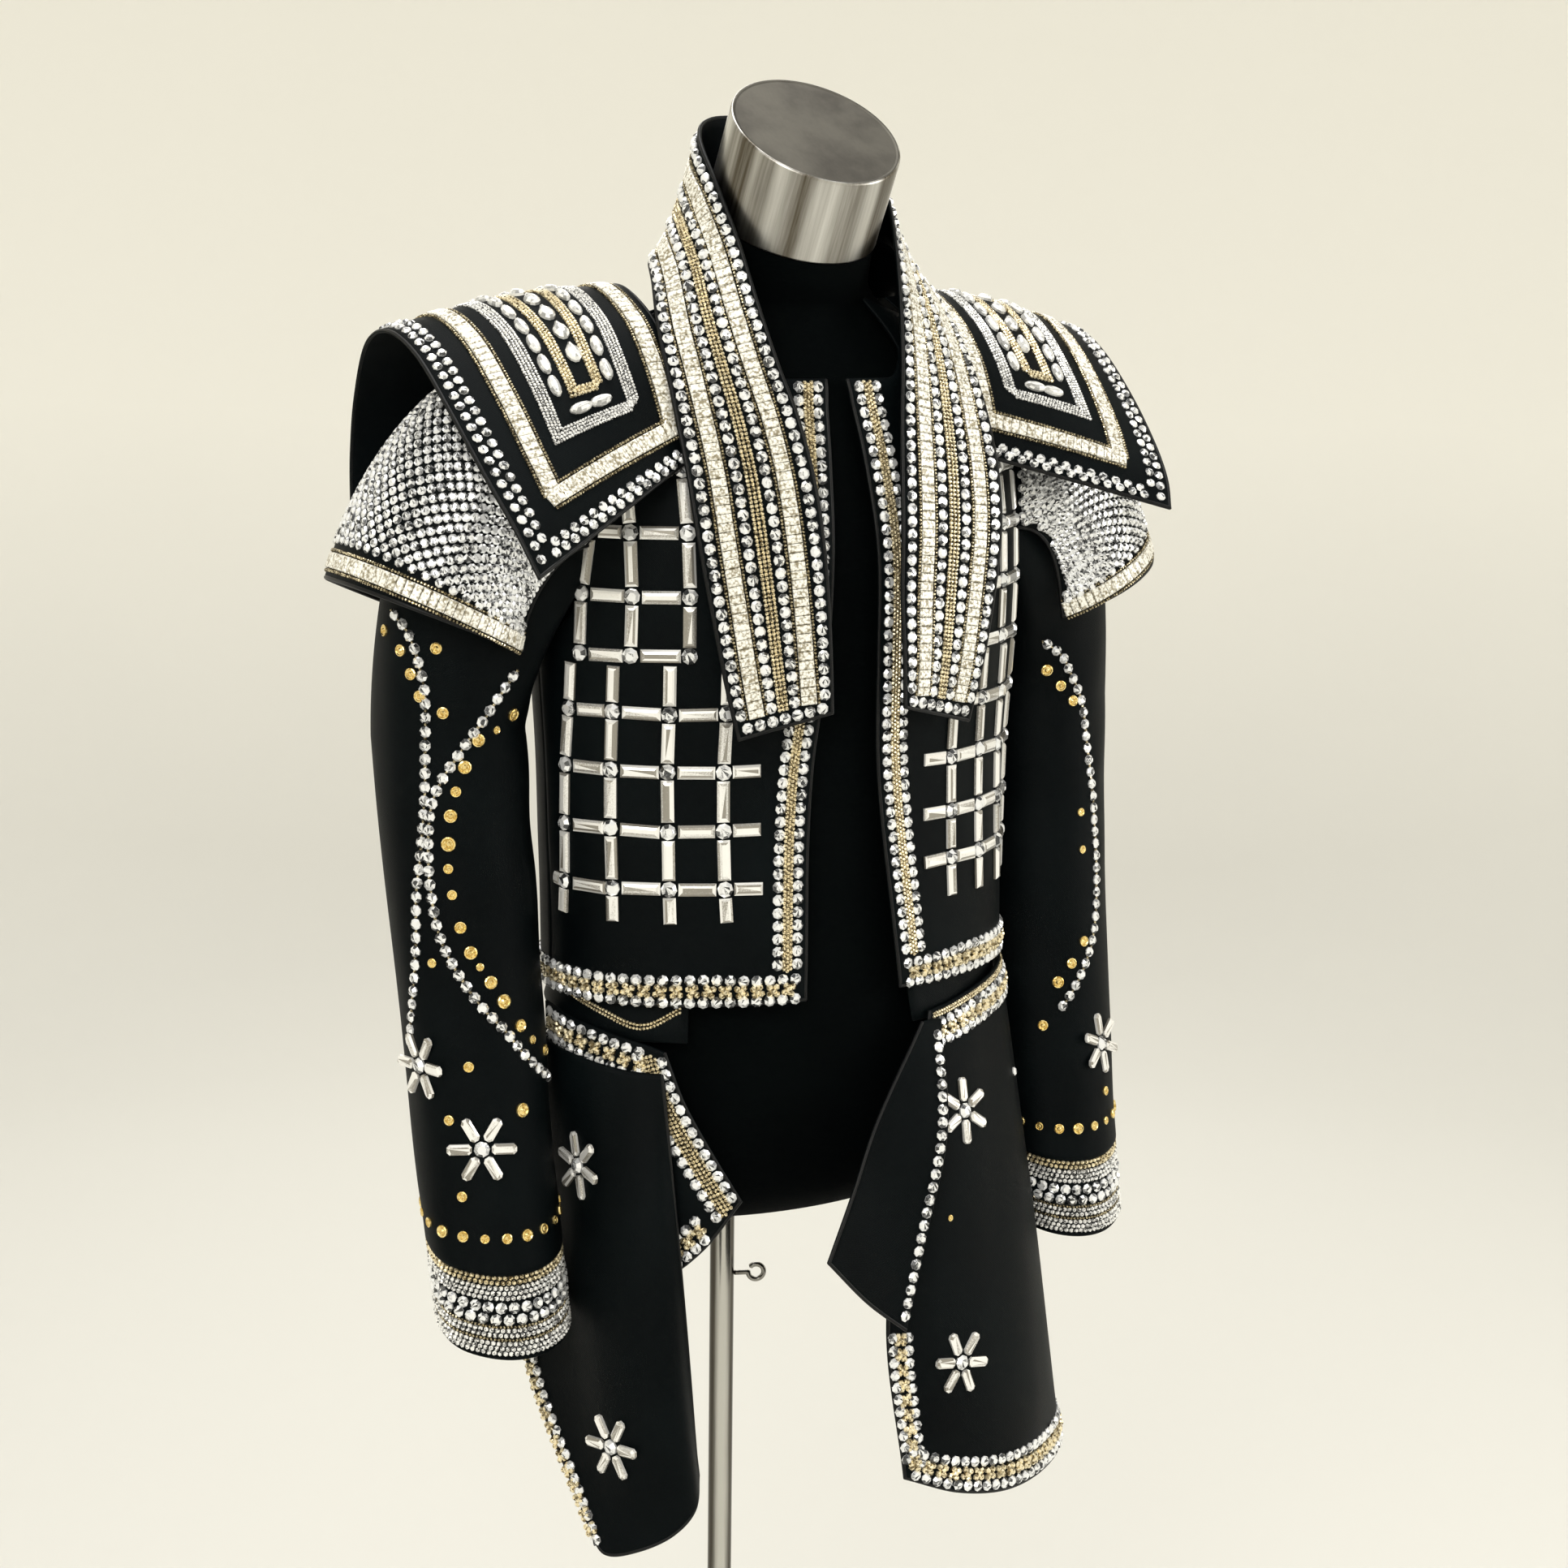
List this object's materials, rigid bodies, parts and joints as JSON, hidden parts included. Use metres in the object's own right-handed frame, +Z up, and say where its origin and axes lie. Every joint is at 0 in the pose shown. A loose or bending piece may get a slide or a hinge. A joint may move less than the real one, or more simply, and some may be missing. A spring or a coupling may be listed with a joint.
{
  "type": "cropped blazer on a limbless dress form with a pole stand",
  "caption": "Black cropped blazer with crystal borders, stole collar, saddle shoulders and uneven tails, worn open on a limbless dress form on a pole stand.",
  "frame": {"origin": "on the floor at the pole's axis, in the underside of the round base", "axes": "+Z up along the pole, -Y out of the garment's front, +X towards the wearer's left"},
  "size_m": [0.5428, 0.367, 1.5547],
  "materials": {
    "crepe": "matt black crepe with a faint sheen",
    "jersey": "matt black stretch jersey",
    "steel": "brushed",
    "chrome": "polished"
  },
  "bodies": {
    "root": {"front_right": "crepe", "front_left": "crepe", "back": "crepe", "collar": "crepe", "saddle_right": "crepe", "saddle_left": "crepe", "cap_sleeve_right": "crepe", "cap_sleeve_left": "crepe", "sleeve_right": "crepe", "sleeve_left": "crepe", "cuff_right": "crepe", "cuff_left": "crepe", "waist_band": "crepe", "peplum_right": "crepe", "tail_right": "crepe", "tail_left": "crepe", "flap_left": "crepe", "form_body": "jersey", "neck_cap": "steel", "pole": "chrome", "pole_screw": "chrome", "stand_base": "steel"}
  },
  "joints": []
}
